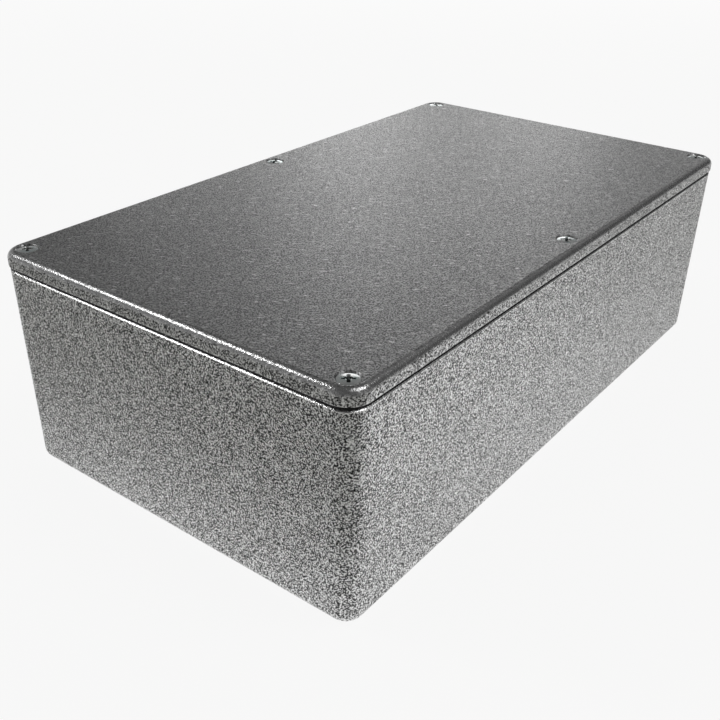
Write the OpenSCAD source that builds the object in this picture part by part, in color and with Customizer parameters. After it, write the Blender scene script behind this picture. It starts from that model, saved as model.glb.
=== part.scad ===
// Die cast aluminium box: a deep box casting, a lid casting with a lip that laps
// inside the walls, and six countersunk screws that hold the lid down.
// The origin is the middle of the base. X runs along the length, Y across it, Z up.

/* [Overall] */
// Length over the lid
length = 192; // [140:1:260]
// Width over the lid
width = 111; // [80:1:160]
// Height from the base to the top of the lid
height = 61; // [40:1:80]

/* [Box casting] */
// Thickness of the walls
wall = 2.3; // [1.8:0.1:2.8]
// Thickness of the floor
floor_t = 2.4; // [1.8:0.1:4]
// Lean of every wall, in degrees, that lets the castings leave their dies
draft = 0.9; // [0.5:0.1:1.4]
// Radius of the upright outside corners at the rim
corner_r = 5.5; // [5:0.1:8]
// Radius of the outside edge round the base
base_r = 3; // [1:0.1:3.6]
// Radius of the outside edge of the rim
rim_r = 0.4; // [0.2:0.05:0.6]
// Height of the seam that shows between the rim's outside edge and the lid
seam_h = 0.5; // [0.2:0.05:0.8]
// Depth of the seam, in from the outside to the land that the lid bears on
seam_w = 0.8; // [0.7:0.05:1.2]
// Radius of the inside edge round the floor
floor_r = 1.5; // [0.5:0.1:2]

/* [Lid casting] */
// Height of the lid's outer edge
lid_edge_h = 3.9; // [3.2:0.1:6]
// Thickness of the lid's plate
lid_t = 2.3; // [1.8:0.1:3]
// Radius of the lid's top edge
lid_top_r = 1.9; // [1:0.1:2.4]
// Radius of the lid's lower edge
lid_foot_r = 0.3; // [0.2:0.05:0.6]
// How far the lid stands proud of the box on each side
overhang = 0.3; // [0.1:0.1:0.6]
// How far the locating lip reaches down inside the walls
lip_h = 1.8; // [1:0.1:3]
// Thickness of the locating lip
lip_t = 1.5; // [0.8:0.1:2]
// Clearance between the lip and the walls
lip_gap = 0.25; // [0.1:0.05:0.5]

/* [Screw bosses] */
// Distance of each screw from the lid's outer edge
screw_inset = 5.2; // [4.8:0.1:6.4]
// Radius of a screw boss at the rim
boss_r = 4.2; // [3.4:0.1:5.5]
// Clearance hole through the lid
clearance_d = 3.4; // [3.2:0.1:3.8]
// Free depth of a tapped hole past the screw's tip
tap_room = 1.5; // [0.5:0.1:4]

/* [Screws] */
// Outside diameter of the thread
thread_d = 3; // [2.5:0.1:3.1]
// Length of a screw with its head
screw_l = 10; // [8:0.5:16]
// Diameter of the countersunk head
head_d = 5; // [4.6:0.1:5.6]
// Straight land round the rim of the head
head_land = 0.15; // [0.1:0.05:0.4]
// How far the heads sit below the lid's top face
head_drop = 0.15; // [0:0.05:0.6]
// Clearance between the head's cone and its seat
seat_gap = 0.04; // [0.02:0.01:0.1]
// Clearance round the thread in its tapped hole
thread_gap = 0.05; // [0.02:0.01:0.15]
// Chamfer at the tip of the thread
tip_chamfer = 0.5; // [0.2:0.1:0.9]
// Span of the cross recess at the face of the head
cross_span = 3.1; // [2.4:0.1:3.4]
// Width of the recess's slots
cross_slot = 0.75; // [0.5:0.05:1]
// Depth of the cross recess
cross_depth = 1.7; // [1:0.1:2]

/* [Hidden] */
// Each screw: its node, its place along and across the box, and how far it is turned
SCREWS = [
    ["screw_front_left", -1, -1, 38],
    ["screw_front_middle", 0, -1, 27],
    ["screw_front_right", 1, -1, 12],
    ["screw_back_left", -1, 1, 55],
    ["screw_back_middle", 0, 1, 22],
    ["screw_back_right", 1, 1, 51],
];
$fn = 64;

rim_z = height - lid_edge_h;
ceiling_z = height - lid_t;
head_z = height - head_drop;
tip_z = head_z - screw_l;

// The upright axes of the four corners, which both castings share
corner_x = length / 2 - overhang - corner_r;
corner_y = width / 2 - overhang - corner_r;
screw_x = length / 2 - screw_inset;
screw_y = width / 2 - screw_inset;

// Reach of the inside of the walls from a corner axis, at the rim and at the floor
inner_r = corner_r - wall;
inner_floor_r = inner_r - (rim_z - floor_t) * tan(draft);
// The floor's fillet never takes more than its wall leaves at the corners
fillet_r = min(floor_r, 0.8 * inner_floor_r);

// A countersunk head is a right-angled cone
head_cone_h = (head_d - thread_d) / 2;
// The seat is the head's cone, moved out by its clearance
seat_r = head_d / 2 + head_land + head_drop + seat_gap * sqrt(2);
// Angle of a drill's point, and the share of its width that is the chisel edge
drill_point = 118;
chisel_share = 0.15;
// Span of the cross recess at its bottom, as a share of its span at the face
cross_taper = 0.55;
// Ratio of an edge's arc to the circle that its two faces are tangent to
arc_ease = 1.003;
// How far a cutting shape runs past the face that it cuts
cut = lid_edge_h / 4;

// Half of an upright section, outwards from a corner axis. The wall passes through
// [wall_r, wall_z] and leans out by lean degrees as it rises. foot_r rounds its lower
// edge and head_r its upper one.
module wall_section(wall_r, wall_z, low_z, high_z, lean, foot_r = 0, head_r = 0) {
    foot_x = wall_r + (low_z + foot_r - wall_z) * tan(lean) - foot_r / cos(lean);
    head_x = wall_r + (high_z - head_r - wall_z) * tan(lean) - head_r / cos(lean);
    low_x = wall_r + (low_z - wall_z) * tan(lean);
    high_x = wall_r + (high_z - wall_z) * tan(lean);
    difference() {
        polygon([[0, low_z], [low_x, low_z], [high_x, high_z], [0, high_z]]);
        if (foot_r > 0) translate([foot_x, low_z + foot_r]) mirror([0, 1]) edge_waste(foot_r);
        if (head_r > 0) translate([head_x, high_z - head_r]) edge_waste(head_r);
    }
}

// What an edge of radius r loses, seen from the centre of its arc. The arc is a hair
// wider than the circle that both faces are tangent to, so that it crosses them cleanly.
module edge_waste(r) {
    difference() {
        square(2 * r);
        circle(arc_ease * r);
    }
}

// Carries a half section round the rounded rectangle of the corner axes
module carry() {
    for (quarter = [0:3]) {
        sx = quarter == 0 || quarter == 3 ? 1 : -1;
        sy = quarter < 2 ? 1 : -1;
        translate([sx * corner_x, sy * corner_y, 0])
            rotate([0, 0, 90 * quarter])
            rotate_extrude(angle = 90) children();
    }
    for (turn = [0, 180]) rotate([0, 0, turn]) {
        translate([-corner_x, corner_y, 0])
            rotate([90, 0, 90]) linear_extrude(2 * corner_x) children();
        rotate([0, 0, -90]) translate([-corner_y, corner_x, 0])
            rotate([90, 0, 90]) linear_extrude(2 * corner_y) children();
    }
}

// The carried section with the space between the corner axes filled
module carried_solid(low_z, high_z) {
    carry() children();
    translate([-corner_x, -corner_y, low_z])
        cube([2 * corner_x, 2 * corner_y, high_z - low_z]);
}

// Repeats a shape at each of the six screws
module at_screws() {
    for (screw = SCREWS) translate([screw[1] * screw_x, screw[2] * screw_y, 0]) children();
}

// The space inside the box, up past the rim
module cavity() {
    carried_solid(floor_t, rim_z + cut)
        wall_section(inner_r, rim_z, floor_t, rim_z + cut, draft, foot_r = fillet_r);
}

// A boss, which widens towards the floor as its die needs
module boss() {
    low_z = floor_t / 2;
    reach = rim_z + 2 * cut - low_z;
    translate([0, 0, low_z])
        cylinder(h = reach, r1 = boss_r + (rim_z - low_z) * tan(draft),
                 r2 = boss_r - 2 * cut * tan(draft));
}

// A tapped hole at the outside diameter of its thread, with the drill's point below.
// The point ends in the small flat of the drill's chisel edge.
module tapped_hole() {
    hole_r = thread_d / 2 + thread_gap;
    bottom_z = tip_z - tap_room;
    chisel_r = chisel_share * hole_r;
    point_h = (hole_r - chisel_r) / tan(drill_point / 2);
    translate([0, 0, bottom_z]) cylinder(h = rim_z + cut - bottom_z, r = hole_r);
    translate([0, 0, bottom_z - point_h]) cylinder(h = point_h, r1 = chisel_r, r2 = hole_r);
}

// The outside of the box. Its rim steps down round the land that the lid bears on, which
// leaves the narrow seam that shows under the lid's edge.
module box_body() {
    step_z = rim_z - seam_h;
    carried_solid(0, step_z)
        wall_section(corner_r, rim_z, 0, step_z, draft, foot_r = base_r, head_r = rim_r);
    carried_solid(step_z - cut, rim_z)
        wall_section(corner_r - seam_w, rim_z, step_z - cut, rim_z, 0);
}

module box() {
    color("darkgray") difference() {
        box_body();
        difference() {
            cavity();
            at_screws() boss();
        }
        // The bosses end level with the rim, and their holes open there
        at_screws() tapped_hole();
    }
}

// The shallow recess under the lid's plate, which leaves a bearing edge on the rim
module lid_recess() {
    carried_solid(rim_z - cut, ceiling_z)
        wall_section(inner_r, rim_z, rim_z - cut, ceiling_z, 0);
}

// The lip that drops inside the walls and stops short of the screw bosses
module locating_lip() {
    lip_r = inner_r - lip_gap - lip_h * tan(draft);
    low_z = rim_z - lip_h;
    difference() {
        carry() difference() {
            translate([0, low_z]) square([lip_r, ceiling_z - low_z]);
            translate([0, low_z]) square([max(lip_r - lip_t, 0), ceiling_z - low_z]);
        }
        at_screws() translate([0, 0, low_z - cut])
            cylinder(h = ceiling_z - low_z + 2 * cut, r = boss_r + lip_gap + lip_h * tan(draft));
    }
}

// A clearance hole with a right-angled countersink
module countersunk_hole() {
    translate([0, 0, rim_z - cut])
        cylinder(h = lid_edge_h + 2 * cut, d = clearance_d);
    translate([0, 0, height - seat_r]) cylinder(h = seat_r + cut, r1 = 0, r2 = seat_r + cut);
}

module lid() {
    color("darkgray") difference() {
        union() {
            difference() {
                carried_solid(rim_z, height)
                    wall_section(corner_r + overhang, rim_z, rim_z, height, -draft,
                                 foot_r = lid_foot_r, head_r = lid_top_r);
                difference() {
                    lid_recess();
                    at_screws() translate([0, 0, rim_z - 2 * cut])
                        cylinder(h = ceiling_z - rim_z + 3 * cut, r = boss_r);
                }
            }
            locating_lip();
        }
        at_screws() countersunk_hole();
    }
}

// A cross recess, whose arms shorten towards the bottom
module cross_recess() {
    intersection() {
        translate([0, 0, -cross_depth])
            cylinder(h = cross_depth + cut, r1 = cross_taper * cross_span / 2,
                     r2 = (1 + (1 - cross_taper) * cut / cross_depth) * cross_span / 2);
        translate([0, 0, -cross_depth]) linear_extrude(cross_depth + cut) union() {
            square([cross_span + cut, cross_slot], center = true);
            square([cross_slot, cross_span + cut], center = true);
        }
    }
}

// A countersunk screw with a plain shank at the outside diameter of its thread
module lid_screw(screw) {
    cone_z = -head_land - head_cone_h;
    color("silver")
        translate([screw[1] * screw_x, screw[2] * screw_y, head_z])
        rotate([0, 0, screw[3]]) difference() {
            rotate_extrude() polygon([
                [0, 0], [head_d / 2, 0], [head_d / 2, -head_land],
                [thread_d / 2, cone_z], [thread_d / 2, tip_chamfer - screw_l],
                [thread_d / 2 - tip_chamfer, -screw_l], [0, -screw_l],
            ]);
            cross_recess();
        }
}

box();
lid();
for (screw = SCREWS) {
    lid_screw(screw);
}
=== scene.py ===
# %% [markdown]
# # A die cast aluminium box
#
# This lesson dresses a small instrument box: a deep casting, a lid that laps over it, and six
# countersunk screws. Molten aluminium is pressed into a steel die, and the casting is then tumbled
# among small stones, which leaves a grey skin full of fine bright and dark flecks and rubs the
# edges bright. The exact solids come from a CAD program, so what is left for Blender is the metal
# itself, the screws' threads, and the light.

# %% The tools and the frame
import math

import bpy
import numpy as np
from mathutils import Matrix, Vector


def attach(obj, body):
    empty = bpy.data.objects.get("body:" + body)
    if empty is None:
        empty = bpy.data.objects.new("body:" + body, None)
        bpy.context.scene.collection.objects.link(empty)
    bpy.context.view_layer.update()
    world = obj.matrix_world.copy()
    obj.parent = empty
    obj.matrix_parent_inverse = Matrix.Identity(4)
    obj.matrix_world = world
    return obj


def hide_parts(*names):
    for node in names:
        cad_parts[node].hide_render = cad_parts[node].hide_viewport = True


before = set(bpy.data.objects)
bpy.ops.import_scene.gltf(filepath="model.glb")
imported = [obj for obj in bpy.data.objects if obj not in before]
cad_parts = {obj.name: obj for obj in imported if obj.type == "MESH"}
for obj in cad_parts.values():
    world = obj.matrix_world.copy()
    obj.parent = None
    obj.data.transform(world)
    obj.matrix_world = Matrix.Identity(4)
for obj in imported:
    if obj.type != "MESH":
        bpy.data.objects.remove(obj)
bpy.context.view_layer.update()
print("solids:", sorted(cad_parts))

# %% [markdown]
# ## The camera
#
# The box is seen from above one of its corners, close enough for the far end to look clearly
# smaller. A camera is a place and three directions: right, up and back. We work those out from
# three angles, so that each can be changed by itself, and put them into one matrix.

# %% The camera
TURN = math.radians(-52.9)
DIP = math.radians(29.23)
TILT = math.radians(0.91)
# The origin as the camera sees it, in metres along its right, up and back
ORIGIN_SEEN = Vector((0.01242, -0.00664, -0.30342))
# In millimetres, as on a real camera
SENSOR = 36
LENS = 48.1


def place_camera():
    """Turns about the upright axis, dips, then tilts, and steps back from the origin."""
    level = Vector((math.cos(TURN), math.sin(TURN), 0))
    flat = math.cos(DIP)
    back = Vector((math.sin(TURN) * flat, -math.cos(TURN) * flat, math.sin(DIP)))
    over = back.cross(level)
    right = math.cos(TILT) * level + math.sin(TILT) * over
    up = math.cos(TILT) * over - math.sin(TILT) * level
    to_camera = Matrix((right, up, back))
    data = bpy.data.cameras.new("camera")
    data.sensor_width = SENSOR
    data.lens = LENS
    data.clip_start = 0.01
    camera = bpy.data.objects.new("camera", data)
    camera.matrix_world = to_camera.transposed().to_4x4()
    camera.matrix_world.translation = -(to_camera.transposed() @ ORIGIN_SEEN)
    bpy.context.scene.collection.objects.link(camera)
    bpy.context.scene.camera = camera
    return camera


camera = place_camera()
print("camera at", [round(value, 4) for value in camera.matrix_world.translation])

# %% [markdown]
# ## Joining nodes
#
# Every finish below is a small net of shader nodes. One helper makes a node, sets its options,
# and then either links an input to another node or gives it a plain value. That keeps each net
# short enough to read as a few sentences. Two more helpers do arithmetic, and a fourth runs from
# one value to another over a stretch, which is most of what painting with nodes comes down to.

# %% Helpers that add nodes
def add(tree, kind, inputs=None, **options):
    """Adds a node. An input given as a node or a socket is linked, any other is a value."""
    node = tree.nodes.new("ShaderNode" + kind)
    for name, value in options.items():
        setattr(node, name, value)
    for name, value in (inputs or {}).items():
        if isinstance(value, bpy.types.Node):
            tree.links.new(value.outputs[0], node.inputs[name])
        elif isinstance(value, bpy.types.NodeSocket):
            tree.links.new(value, node.inputs[name])
        else:
            node.inputs[name].default_value = value
    return node


def maths(tree, operation, *values):
    """One step of arithmetic between nodes, sockets and plain numbers."""
    return add(tree, "Math", dict(enumerate(values)), operation=operation)


def vectors(tree, operation, *values):
    """One step of arithmetic between places, directions or colours."""
    return add(tree, "VectorMath", dict(enumerate(values)), operation=operation)


def fade(tree, value, start, end, low=0.0, high=1.0):
    """Runs smoothly from low to high as value goes from start to end."""
    spread = {"Value": value, "From Min": start, "From Max": end, "To Min": low, "To Max": high}
    return add(tree, "MapRange", spread, interpolation_type="SMOOTHSTEP")


# %% Helpers for places and finishes
def height_of(tree, where):
    """The upright part of a place or a direction."""
    return add(tree, "SeparateXYZ", {0: where}).outputs["Z"]


def dim_towards(tree, where, direction, start, full, left):
    """One on this side of a start, and the share left beyond full, in one level direction."""
    turn = math.radians(direction)
    reach = vectors(tree, "DOT_PRODUCT", where, (math.cos(turn), math.sin(turn), 0))
    return fade(tree, reach.outputs["Value"], start, full, 1.0, left)


def new_finish(name):
    """An empty material and its net of nodes."""
    finish = bpy.data.materials.new(name)
    finish.use_nodes = True
    finish.node_tree.nodes.clear()
    return finish, finish.node_tree


# %% [markdown]
# ## The table
#
# Bare metal has little colour of its own: it shows what stands round it. A studio for metal is
# therefore a pale table in a dim room, with a few soft panels. The table is white to the camera,
# and the metal sees most of that white too, so the walls are brightest near the table. In front
# of the near corner, and of the short wall beside it, the table is dark for the metal, as where
# someone stands in their own light. That draws the dark line down the corner. Behind the two far
# walls its glow is a little lower. A lamp could light the table instead, but a glow that each
# kind of ray sees by its own share can be set without changing the light on the box.

# %% The table
TABLE_SIZE = 8.0
TABLE_GLOW = 0.86
PAPER = (0.80, 0.80, 0.77, 1)
# To the camera: the share of white by the box and far off, and where, in metres from the
# middle, it starts to grow and is full
NEAR_WHITE = 0.9
FAR_WHITE = 1.0
WHITER_FROM = 0.3
WHITEST_FROM = 2.0
# Each dimmer part: its direction from the middle of the box, where it starts and is full, in
# metres along that direction, and the share of the glow that it leaves
DIM_PARTS = (
    (225, 0.107, 0.145, 0.0),
    (180, 0.084, 0.150, 0.05),
    (90, 0.0, 0.110, 0.65),
    (0, 0.0, 0.200, 0.6),
)


def table_finish():
    """Paper that glows by the share of white that each kind of ray sees."""
    finish, tree = new_finish("table_paper")
    where = add(tree, "TexCoord").outputs["Object"]
    seen = TABLE_GLOW
    for part in DIM_PARTS:
        seen = maths(tree, "MULTIPLY", seen, dim_towards(tree, where, *part))
    ray = add(tree, "LightPath").outputs
    by_metal = maths(tree, "MULTIPLY", ray["Is Glossy Ray"], seen)
    by_camera = maths(tree, "MAXIMUM", ray["Is Camera Ray"], ray["Is Transmission Ray"])
    far = vectors(tree, "LENGTH", where).outputs["Value"]
    whiteness = fade(tree, far, WHITER_FROM, WHITEST_FROM, NEAR_WHITE, FAR_WHITE)
    share = maths(tree, "MULTIPLY_ADD", by_camera, whiteness, by_metal)
    paper = add(tree, "BsdfDiffuse", {"Color": PAPER})
    glow = add(tree, "Emission", {"Color": (1, 1, 1, 1), "Strength": 1.0})
    surface = add(tree, "MixShader", {0: share, 1: paper, 2: glow})
    add(tree, "OutputMaterial", {"Surface": surface})
    return finish


def lay_table():
    """One large square at the level that the box stands on."""
    half = TABLE_SIZE / 2
    corners = [(-half, -half, 0), (half, -half, 0), (half, half, 0), (-half, half, 0)]
    mesh = bpy.data.meshes.new("table")
    mesh.from_pydata(corners, [], [(0, 1, 2, 3)])
    mesh.materials.append(table_finish())
    table = bpy.data.objects.new("table", mesh)
    bpy.context.scene.collection.objects.link(table)


lay_table()
print("a table", TABLE_SIZE, "m wide glows at", TABLE_GLOW)

# %% [markdown]
# ## The room
#
# The room is a world background, which has no edges to show in the metal. It is white only where
# the camera looks past the table. What the metal mirrors of it is paler low down and darker above.
# It is darker still in two directions: behind the camera, which keeps the near corner dark, and
# off to the right, which draws the dark line along the lid's long edge.

# %% The room
ROOM_LIGHT = 0.3
# What the metal mirrors: the level low down and higher up, and the share left overhead
ROOM_LOW = 0.35
ROOM_HIGH = 0.14
ROOM_OVERHEAD = 0.35
# The share of the camera's white that the metal sees too
WHITE_IN_METAL = 0.04
# Each dimmer side: its direction, the cosines of the angle from it at which it starts and is
# full, and the share that it leaves
DIM_SIDES = (
    (330, 0.72, 0.92, 0.2),
    (218, 0.4, 0.95, 0.3),
)


def light_room():
    """White where the camera looks past the table, and a dim light for all else."""
    room = bpy.data.worlds.new("room")
    bpy.context.scene.world = room
    room.use_nodes = True
    tree = room.node_tree
    tree.nodes.clear()
    ray = add(tree, "LightPath").outputs
    by_camera = maths(tree, "MAXIMUM", ray["Is Camera Ray"], ray["Is Transmission Ray"])
    share = maths(tree, "MULTIPLY_ADD", ray["Is Glossy Ray"], WHITE_IN_METAL, by_camera)
    towards = add(tree, "TexCoord").outputs["Generated"]
    height = height_of(tree, towards)
    mirrored = fade(tree, height, 0.05, 0.45, ROOM_LOW, ROOM_HIGH)
    overhead = fade(tree, height, 0.6, 0.85, 1.0, ROOM_OVERHEAD)
    mirrored = maths(tree, "MULTIPLY", mirrored, overhead)
    for side in DIM_SIDES:
        mirrored = maths(tree, "MULTIPLY", mirrored, dim_towards(tree, towards, *side))
    level = add(tree, "Mix", {"Factor": ray["Is Glossy Ray"], "A": ROOM_LIGHT, "B": mirrored})
    dim = add(tree, "Background", {"Color": (1, 1, 1, 1), "Strength": level})
    white = add(tree, "Background", {"Color": (1, 1, 1, 1), "Strength": 1.0})
    surface = add(tree, "MixShader", {0: share, 1: dim, 2: white})
    add(tree, "OutputWorld", {"Surface": surface})


light_room()
bpy.context.scene.view_settings.view_transform = "Standard"
print("the room lights the box at", ROOM_LIGHT)

# %% [markdown]
# ## Soft panels
#
# A panel's width sets how soft its reflection is, and its power how bright it looks. Low panels
# behind the box pale the far part of the lid and the far half of each screw head. A small one,
# higher and on the left, is what the left edges mirror as a white line. One high on the right
# lights the long wall. Each is placed by the direction that it stands in, and faces the box.

# %% The panels
PANEL_DISTANCE = 1.0
# Each panel: its name, its direction round the box and its rise from the table in degrees, its
# power in watts, and its width in metres
PANELS = (
    ("panel_behind", 32, 18, 0.38, 0.4),
    ("panel_behind_left", 46, 5, 0.5, 0.4),
    ("panel_behind_right", 16, 5, 0.3, 0.4),
    ("panel_left", 120, 44, 0.85, 0.18),
    ("panel_right", 290, 62, 1.2, 0.4),
)


def stand_panel(name, direction, rise, watts, width):
    """Stands a square lamp at two angles from the box: round it, and up from the table."""
    turn, lift = math.radians(direction), math.radians(rise)
    level = Vector((math.cos(turn), math.sin(turn), 0))
    place = (level * math.cos(lift) + Vector((0, 0, math.sin(lift)))) * PANEL_DISTANCE
    data = bpy.data.lights.new(name, "AREA")
    data.shape = "SQUARE"
    data.size = width
    data.energy = watts
    panel = bpy.data.objects.new(name, data)
    panel.location = place
    panel.rotation_euler = place.to_track_quat("Z", "Y").to_euler()
    bpy.context.scene.collection.objects.link(panel)


for name, direction, rise, watts, width in PANELS:
    stand_panel(name, direction, rise, watts, width)
    print(name, "at", direction, "degrees,", watts, "W")

# %% [markdown]
# ## Where an edge is rubbed
#
# Tumbling wears a casting where it sticks out, so the rounded edges shine. To paint that, the
# metal must know how near each point is to an edge. Blender can find edges by how sharply the
# mesh bends, but only as finely as the faces are cut, so we use a formula. Both castings stand
# on the same rounded rectangle: fold the place into one quarter, measure from the corner's axis,
# and take that from the corner's radius. The walls lean a little, so the place is first moved
# out by what they lean. Adding the distance from the edge's level gives zero on the sharp edge
# that the rounding cut off, and a small length on the rounding itself.

# %% Sizes of the castings, in metres
HALF_LENGTH = 0.096
HALF_WIDTH = 0.0555
LID_TOP = 0.061
LID_FOOT = 0.0571
LID_CORNER = 0.0058
BOX_RIM = 0.0566
BOX_CORNER = 0.0055
# How far the box stands back under the lid
BOX_BACK = 0.0003
LEAN = math.tan(math.radians(0.9))
print("the walls lean in by", round(1000 * LEAN * BOX_RIM, 2), "mm")


# %% Distance from a long edge
def edge_distance(tree, where, level, back, corner):
    """Metres in from the upright side, plus metres from the edge's level.

    The side stands back by a length and has a corner radius. It leans in away from the lid's
    foot: below it on the box, and above it on the lid.
    """
    height = height_of(tree, where)
    away = maths(tree, "ABSOLUTE", maths(tree, "SUBTRACT", LID_FOOT, height))
    leant = maths(tree, "MULTIPLY", away, LEAN)
    upright = add(tree, "CombineXYZ", {"X": leant, "Y": leant})
    straight = vectors(tree, "ADD", vectors(tree, "ABSOLUTE", where), upright)
    axis = (HALF_LENGTH - back - corner, HALF_WIDTH - back - corner, 0)
    outward = vectors(tree, "MAXIMUM", vectors(tree, "SUBTRACT", straight, axis))
    flat = vectors(tree, "MULTIPLY", outward, (1, 1, 0))
    reach = vectors(tree, "LENGTH", flat).outputs["Value"]
    side = maths(tree, "SUBTRACT", corner, reach)
    rise = maths(tree, "ABSOLUTE", maths(tree, "SUBTRACT", height, level))
    return maths(tree, "ADD", side, rise)


def wandering(tree, where, cells, reach):
    """A noise that moves a border to and fro by up to a reach, in cells to the metre."""
    noise = add(tree, "TexNoise", {"Vector": where, "Scale": cells, "Detail": 2.0})
    return maths(tree, "MULTIPLY_ADD", noise, 2 * reach, -reach)


# %% [markdown]
# ## The cast skin
#
# The tumbled skin is a maze of flecks under half a millimetre long. An image of real metal could
# be wrapped round it, but it would repeat and would need joins at the corners. Fine noise has
# neither fault, and it is used three times over: as brightness, as roughness, and as relief, so
# that each fleck also tips its own way and catches a lamp by itself. Pale lines wander between
# the flecks, and short bright nicks lie over them, where stones struck. Where the skin is rubbed
# it is brighter and smoother, and the flecks fade. A slow noise adds the faint clouds of a
# casting that filled unevenly.

# %% The grain of the metal
FLECK_CELLS = 2800.0
LINE_CELLS = 1900.0
CLOUD_CELLS = 70.0
# Noise has a hidden grid, which would show as bands on a wall along it, so the grain is turned
GRAIN_TURN = (0.61, 0.47, 0.35)


def casting_grain(tree, where):
    """Fine flecks, the pale lines that wander between them, and slow clouds."""
    turned = add(tree, "Mapping", {"Vector": where, "Rotation": GRAIN_TURN})
    flecks = add(tree, "TexNoise", {"Vector": turned, "Scale": FLECK_CELLS, "Detail": 0.8})
    lines = add(tree, "TexNoise", {"Vector": turned, "Scale": LINE_CELLS, "Detail": 0.0})
    lines = maths(tree, "ABSOLUTE", maths(tree, "SUBTRACT", lines, 0.5))
    lines = fade(tree, lines, 0.0, 0.06, 1.0, -0.35)
    clouds = add(tree, "TexNoise", {"Vector": turned, "Scale": CLOUD_CELLS, "Detail": 3.0})
    return flecks, lines, clouds


# %% Short nicks from the tumbling
# The thickness and the lengths of a cell of noise, in metres
NICK_CELL = (0.0004, 0.0022, 0.0022)


def nick_marks(tree, where, turn, strength):
    """Thin bright strokes: noise on long narrow cells, cut off near its peaks.

    As a texture's mapping, the rotation lays the cells and the scale is their size.
    """
    cells = {"Vector": where, "Rotation": (0, 0, math.radians(turn)), "Scale": NICK_CELL}
    laid = add(tree, "Mapping", cells, vector_type="TEXTURE")
    stroke = add(tree, "TexNoise", {"Vector": laid, "Scale": 1.0, "Detail": 0.0})
    return fade(tree, stroke, 0.69, 0.78, 0.0, strength)


# %% How bright the metal is
DARKEST = 0.06
BRIGHTEST = 0.92


def cast_colour(tree, grain, rubbed, painted_seam_shade, nicks, tone, shine, contrast):
    """A tone, or where rubbed a shine, times the flecks, lines, clouds and nicks."""
    flecks, lines, clouds = grain
    mottle = maths(tree, "ADD", fade(tree, flecks, 0.34, 0.68, -1.0, 1.4), lines)
    keep = maths(tree, "MULTIPLY", contrast, fade(tree, rubbed, 0.0, 1.0, 1.0, 0.3))
    drift = maths(tree, "MULTIPLY_ADD", clouds, 0.12, 0.94)
    spread = maths(tree, "MULTIPLY_ADD", mottle, keep, drift)
    spread = maths(tree, "MAXIMUM", maths(tree, "ADD", spread, nicks), DARKEST)
    shade = maths(tree, "MULTIPLY", fade(tree, rubbed, 0.0, 1.0, tone, shine), spread)
    # Painted shade: darkens the metal in the seam between lid and box
    shade = maths(tree, "MULTIPLY", shade, fade(tree, painted_seam_shade, 0.0, 1.0, 1.0, 0.08))
    shade = maths(tree, "MINIMUM", shade, BRIGHTEST)
    return add(tree, "CombineColor", {"Red": shade, "Green": shade, "Blue": shade})


# %% The cast metal
def cast_skin(tree, grain, colour, rubbed, relief, turned_over):
    """Aluminium whose roughness and relief follow its grain.

    The relief is the height of the flecks in metres. What is turned over is a height of its own,
    also in metres, which bends the light at an edge as a worn edge would.
    """
    flecks, lines, _ = grain
    rough = fade(tree, flecks, 0.36, 0.66, 0.46, 0.28)
    rough = maths(tree, "MULTIPLY", rough, fade(tree, rubbed, 0.0, 1.0, 1.0, 0.6))
    swell = maths(tree, "ADD", flecks, maths(tree, "MULTIPLY", lines, 0.08))
    swell = maths(tree, "ADD", swell, maths(tree, "MULTIPLY", turned_over, 1 / relief))
    bump = add(tree, "Bump", {"Height": swell, "Strength": 1.0, "Distance": relief})
    skin = {"Base Color": colour, "Metallic": 1.0, "Roughness": rough, "Normal": bump}
    return add(tree, "BsdfPrincipled", skin)


# %% [markdown]
# ## The box
#
# The box is paler and coarser than the lid's top. Its rim is rubbed bright, and turned over far
# enough to mirror the left panel as a white line. Above that line little light gets in under the
# lid, so the last part of the rim is darkened with painted shade. The base is rubbed less.

# %% The finish of the box
# How steeply the rim is turned over, and how far down from its edge
RIM_SLOPE = 1.35
RIM_DEPTH = 0.00066
# The heights at which the painted shade of the seam starts and is full
BOX_SEAM_SHADE = (0.05634, 0.05644)


def box_finish():
    """Coarse grain, with a bright rim, painted shade in the seam above it and a worn base."""
    finish, tree = new_finish("tumbled_box_casting")
    where = add(tree, "TexCoord").outputs["Object"]
    shift = wandering(tree, where, 700.0, 0.0007)
    rim = edge_distance(tree, where, BOX_RIM, BOX_BACK, BOX_CORNER)
    turned_over = maths(tree, "MULTIPLY", maths(tree, "MINIMUM", rim, RIM_DEPTH), RIM_SLOPE)
    rim = fade(tree, maths(tree, "ADD", rim, shift), 0.0006, 0.0010, 1.0, 0.0)
    base = edge_distance(tree, where, 0.0, BOX_BACK, BOX_CORNER)
    base = fade(tree, maths(tree, "ADD", base, shift), 0.0017, 0.0025, 0.5, 0.0)
    rubbed = maths(tree, "MAXIMUM", rim, base)
    # Painted shade: the rim darkens towards the seam under the lid's overhang
    painted_seam_shade = fade(tree, height_of(tree, where), *BOX_SEAM_SHADE)
    nicks = nick_marks(tree, where, turn=48, strength=1.2)
    grain = casting_grain(tree, where)
    colour = cast_colour(tree, grain, rubbed, painted_seam_shade, nicks, tone=0.375, shine=1.0, contrast=1.35)
    skin = cast_skin(tree, grain, colour, rubbed, relief=0.0001, turned_over=turned_over)
    add(tree, "OutputMaterial", {"Surface": skin})
    return finish


finishes = {"box": box_finish()}
print("made", finishes["box"].name)

# %% [markdown]
# ## The lid
#
# The lid's flat top has a finer look than its sides, with less contrast. Its top edge is worn in
# a ragged band, and its foot in a narrower one. The foot's underside, in the seam, is darkened
# with painted shade, as the box's rim is there.

# %% The finish of the lid
# The heights at which the painted shade under the lid's foot starts and is full
LID_SEAM_SHADE = (0.05732, 0.05724)
# The heights between which the contrast falls from that of the sides to that of the top
SIDE_TO_TOP = (0.0593, 0.0605)


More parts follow.
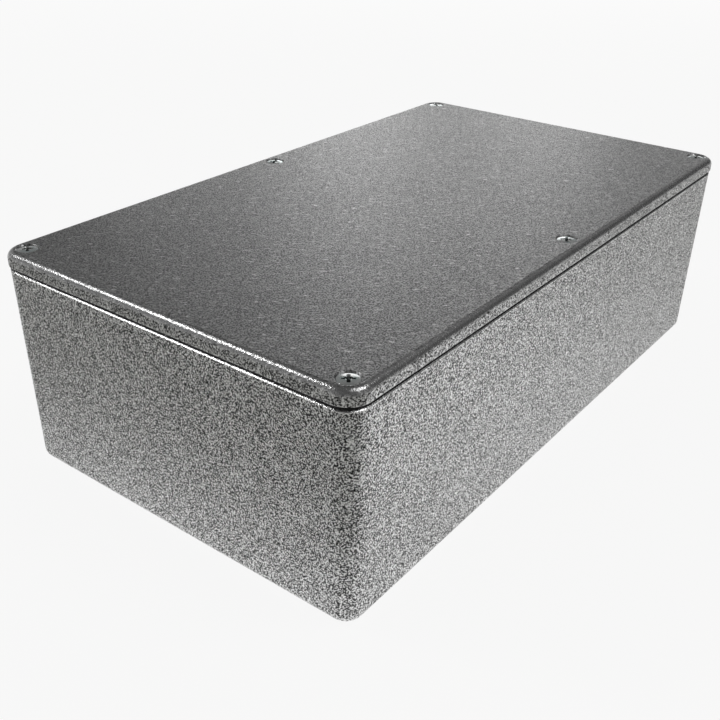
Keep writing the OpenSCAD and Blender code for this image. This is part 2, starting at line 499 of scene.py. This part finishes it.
def lid_finish():
    """Fine grain on top, coarse on the sides, and worn along the top edge and the foot."""
    finish, tree = new_finish("tumbled_lid_casting")
    where = add(tree, "TexCoord").outputs["Object"]
    shift = wandering(tree, where, 800.0, 0.0006)
    top = edge_distance(tree, where, LID_TOP, 0.0, LID_CORNER)
    top = fade(tree, maths(tree, "ADD", top, shift), 0.00115, 0.00165, 1.0, 0.0)
    foot = edge_distance(tree, where, LID_FOOT, 0.0, LID_CORNER)
    foot = fade(tree, maths(tree, "ADD", foot, shift), 0.0002, 0.0006, 0.6, 0.0)
    rubbed = maths(tree, "MAXIMUM", top, foot)
    height = height_of(tree, where)
    # Painted shade in the seam under the lid's foot
    painted_seam_shade = fade(tree, height, *LID_SEAM_SHADE)
    contrast = fade(tree, height, *SIDE_TO_TOP, 1.0, 0.45)
    nicks = nick_marks(tree, where, turn=34, strength=1.1)
    grain = casting_grain(tree, where)
    colour = cast_colour(tree, grain, rubbed, painted_seam_shade, nicks, 0.34, 0.62, contrast)
    skin = cast_skin(tree, grain, colour, rubbed, relief=0.00006, turned_over=0.0)
    add(tree, "OutputMaterial", {"Surface": skin})
    return finish


finishes["lid"] = lid_finish()
print("made", finishes["lid"].name)

# %% Dressing the castings
def dress(piece, finish):
    """Puts a finish into the piece's one material slot."""
    piece.data.materials.clear()
    piece.data.materials.append(finish)


for name, finish in finishes.items():
    dress(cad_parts[name], finish)
    print(name, "wears", finish.name)

# %% [markdown]
# ## The zinc on the screws
#
# The screws are steel under bright zinc, which is smoother than the castings and a little cold
# in colour. Handling scuffs a head, so the roughness varies. In the cross the colour darkens
# with depth below the face, as painted shade in the recess.

# %% The zinc
ZINC_COLD = (0.80, 0.88, 0.87, 1)
ZINC_PALE = (0.95, 0.96, 0.95, 1)
# The heights at which the painted shade in the cross starts and is darkest
CROSS_SHADE = (0.06065, 0.06030)


def zinc_finish():
    """Bright zinc, scuffed by a fine noise, with painted shade below the face of a head."""
    finish, tree = new_finish("bright_zinc")
    where = add(tree, "TexCoord").outputs["Object"]
    scuff = add(tree, "TexNoise", {"Vector": where, "Scale": 2500.0, "Detail": 2.0})
    tint = add(tree, "TexNoise", {"Vector": where, "Scale": 500.0})
    colour = add(tree, "ValToRGB", {"Fac": tint})
    cold, pale = colour.color_ramp.elements
    cold.position = 0.35
    cold.color = ZINC_COLD
    pale.position = 0.65
    pale.color = ZINC_PALE
    # Painted shade: the cross recess darkens with its depth
    recess_shade = fade(tree, height_of(tree, where), *CROSS_SHADE, 1.0, 0.25)
    colour = vectors(tree, "MULTIPLY", colour, recess_shade)
    rough = fade(tree, scuff, 0.3, 0.7, 0.09, 0.18)
    bump = add(tree, "Bump", {"Height": scuff, "Strength": 1.0, "Distance": 0.00001})
    skin = {"Base Color": colour, "Metallic": 1.0, "Roughness": rough, "Normal": bump}
    add(tree, "OutputMaterial", {"Surface": add(tree, "BsdfPrincipled", skin)})
    return finish


zinc = zinc_finish()
print("made", zinc.name)

# %% [markdown]
# ## A screw as one surface
#
# A screw could be turned, cut and unioned, but every cut would leave long thin faces round the
# cross. Instead the whole screw is one sheet wrapped round its axis: each row is a ring, and a
# ring is a radius and a height for every angle. The first rings lie at the bottom of the cross
# recess, the next climb its walls, then come the domed face, the rounded rim, the cone under the
# head, the thread and the point. Both ends close on the axis, so the sheet is a closed solid.

# %% Sizes of a screw, in metres
HEAD_RADIUS = 0.0025
SHANK_RADIUS = 0.0015
SCREW_LENGTH = 0.010
# How far the cone starts below the level of the plain head
HEAD_LAND = 0.00015
# The dome: how far its middle stands up, and what it falls to the edge of the head
CROWN_RISE = 0.0001
CROWN_FALL = 0.00023
RIM_ROUND = 0.00012
# The cross recess, which narrows to a share of its reach at the bottom
CROSS_REACH = 0.00155
CROSS_HALF_WIDTH = 0.000375
CROSS_DEPTH = 0.0017
CROSS_TAPER = 0.55
CROSS_LIP = 0.00004
# The thread and the point
PITCH = 0.0005
THREAD_DEPTH = 0.00027
ROWS_PER_TURN = 8
POINT_CHAMFER = 0.0005
print("the cone under a head is", round(1000 * (HEAD_RADIUS - SHANK_RADIUS), 2), "mm deep")

# %% Angles that meet the corners of the cross
def ring_angles():
    """Eight like sectors from the middle of an arm to the middle between two arms.

    An arm's own corner is at the angle whose tangent is its half width over its reach. Angles
    are evenly spaced up to it and evenly spaced beyond it, so each corner has its own column.
    """
    corner = math.atan2(CROSS_HALF_WIDTH, CROSS_REACH)
    arm = np.linspace(0, corner, 4)[:-1]
    half = np.concatenate([arm, np.linspace(corner, math.pi / 4, 12)])
    quarter = np.concatenate([half[:-1], math.pi / 2 - half[::-1][:-1]])
    return np.concatenate([quarter + turn * math.pi / 2 for turn in range(4)])


angle = ring_angles()
print("a ring has", len(angle), "points")


# %% One ring, and the cross as a radius for every angle
def ring(radius, height):
    """A radius and a height for every angle, from plain numbers or from arrays."""
    return radius + 0 * angle, height + 0 * angle


def cross_outline(reach):
    """Distance to the outline of a cross with arms of one width and the given reach.

    Folded into one eighth, the outline is an arm's rounded end, a circle of that reach, or its
    side, a straight line at half the arm's width: the nearer of the two along each angle.
    """
    folded = np.abs((angle + math.pi / 4) % (math.pi / 2) - math.pi / 4)
    side = CROSS_HALF_WIDTH / np.maximum(np.sin(folded), 1e-9)
    return np.minimum(side, reach)


print("the cross is", round(2000 * cross_outline(CROSS_REACH).max(), 2), "mm across")


# %% The rings of the cross
def cross_rings():
    """From the axis at the bottom, out to the cross's foot, and up its walls.

    The reach of the arms grows evenly with the height, from the taper's share to the whole.
    """
    foot = cross_outline(CROSS_REACH * CROSS_TAPER)
    rings = [ring(part * foot, -CROSS_DEPTH) for part in (0, 0.4, 1.0)]
    for part in np.linspace(0, 1, 7)[1:-1]:
        reach = CROSS_REACH * (CROSS_TAPER + (1 - CROSS_TAPER) * part)
        rings.append(ring(cross_outline(reach), CROSS_DEPTH * (part - 1)))
    return rings


# %% The rings of the head
def head_rings():
    """From the lip of the cross, over the face and the rim, to the foot of the cone.

    The face falls with the square of the radius. The rim turns down along a quarter of an
    ellipse. The cone loses as much radius as height, which makes it 90 degrees.
    """
    rings = []
    lip = cross_outline(CROSS_REACH)
    face = HEAD_RADIUS - RIM_ROUND
    for part in (0.0, 0.05, 0.2, 0.4, 0.6, 0.8, 1.0):
        radius = lip + (face - lip) * part
        height = CROWN_RISE - CROWN_FALL * (radius / HEAD_RADIUS) ** 2
        rings.append(ring(radius, height - (CROSS_LIP if part == 0 else 0)))
    brow = CROWN_RISE - CROWN_FALL * (face / HEAD_RADIUS) ** 2
    for turn in np.linspace(0, math.pi / 2, 6)[1:]:
        height = brow - (HEAD_LAND + brow) * (1 - math.cos(turn))
        rings.append(ring(face + RIM_ROUND * math.sin(turn), height))
    for part in (0.03, 0.5, 0.97, 1.0):
        drop = (HEAD_RADIUS - SHANK_RADIUS) * part
        rings.append(ring(HEAD_RADIUS - drop, -HEAD_LAND - drop))
    return rings


# %% The rings of the thread
def thread_rings():
    """A thread: the radius falls and climbs once for each pitch down the axis.

    The way down the thread is the height over the pitch plus the share of a turn. Its fractional
    part, folded at one half, is a triangle wave, cut flat at the crest and at the root. The
    thread grows to its full depth over the first pitch.
    """
    start = -HEAD_LAND - (HEAD_RADIUS - SHANK_RADIUS)
    end = POINT_CHAMFER - SCREW_LENGTH
    count = int(round((start - end) / PITCH * ROWS_PER_TURN))
    rings = []
    for height in np.linspace(start, end, count + 1)[1:]:
        along = (height / PITCH + angle / (2 * math.pi)) % 1.0
        wave = np.clip(np.abs(2 * along - 1) * 1.2 - 0.1, 0, 1)
        grown = min(1.0, (start - height) / PITCH)
        rings.append(ring(SHANK_RADIUS - THREAD_DEPTH * wave * grown, height))
    return rings


print("a thread has", len(thread_rings()), "rings")


# %% The rings of the point
def point_rings():
    """The chamfered point, whose radius falls evenly with the height, closed on the axis."""
    rings = []
    for part in (0.5, 1.0):
        radius = SHANK_RADIUS - THREAD_DEPTH - (POINT_CHAMFER - THREAD_DEPTH) * part
        rings.append(ring(radius, POINT_CHAMFER * (1 - part) - SCREW_LENGTH))
    rings.append(ring(0, -SCREW_LENGTH))
    return rings


# %% The faces of a sheet
def sheet_faces(rows, around):
    """A quad between each ring and the next for every angle, and a fan at each pole.

    The points are the top pole, then the rings in order, then the foot pole.
    """
    here = 1 + np.arange(around)
    after = np.roll(here, -1)
    step = around * np.arange(rows - 1)[:, None]
    sides = (here + step, here + step + around, after + step + around, after + step)
    quads = np.stack(sides, axis=-1).reshape(-1, 4)
    last_row = around * (rows - 1)
    foot = 1 + around * rows
    top_fan = np.stack([0 * here, here, after], axis=-1)
    foot_fan = np.stack([0 * here + foot, after + last_row, here + last_row], axis=-1)
    return quads.tolist() + top_fan.tolist() + foot_fan.tolist()


# %% One sheet from many rings
def wrap_screw(name, place, turn):
    """Puts the rings round an axis. The first and the last are poles, with one point each."""
    rings = cross_rings() + head_rings() + thread_rings() + point_rings()
    radius, height = (np.array(values) for values in zip(*rings))
    points = np.stack([radius * np.cos(angle + turn) + place[0],
                       radius * np.sin(angle + turn) + place[1],
                       height + place[2]], axis=-1)
    body = points[1:-1].reshape(-1, 3)
    sheet = np.vstack([points[0, :1], body, points[-1, :1]])
    mesh = bpy.data.meshes.new(name)
    mesh.from_pydata(sheet.tolist(), [], sheet_faces(len(rings) - 2, len(angle)))
    mesh.validate()
    mesh.polygons.foreach_set("use_smooth", np.ones(len(mesh.polygons), dtype=bool))
    mesh.set_sharp_from_angle(angle=math.radians(35))
    mesh.materials.append(zinc)
    screw = bpy.data.objects.new(name, mesh)
    bpy.context.scene.collection.objects.link(screw)
    return screw


# %% [markdown]
# ## Six screws
#
# One stands in each corner, and one in the middle of each long side. Each is driven home until it
# is tight, so the crosses end up turned by chance. Every screw stays an object of its own, which
# replaces the plain solid at its place.

# %% The six screws
SCREW_X = 0.0908
SCREW_Y = 0.0503
HEAD_TOP = 0.06085
# Each screw: its spot, its side along and across the box, and its cross's turn in degrees
SCREWS = (
    ("front_left", -1, -1, 38),
    ("front_middle", 0, -1, 27),
    ("front_right", 1, -1, 12),
    ("back_left", -1, 1, 55),
    ("back_middle", 0, 1, 22),
    ("back_right", 1, 1, 51),
)
for spot, along, across, turn in SCREWS:
    place = (along * SCREW_X, across * SCREW_Y, HEAD_TOP)
    screw = wrap_screw("zinc_screw_" + spot, place, math.radians(turn))
    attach(screw, "root")
    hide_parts("screw_" + spot)
    print(screw.name, "has", len(screw.data.polygons), "faces")
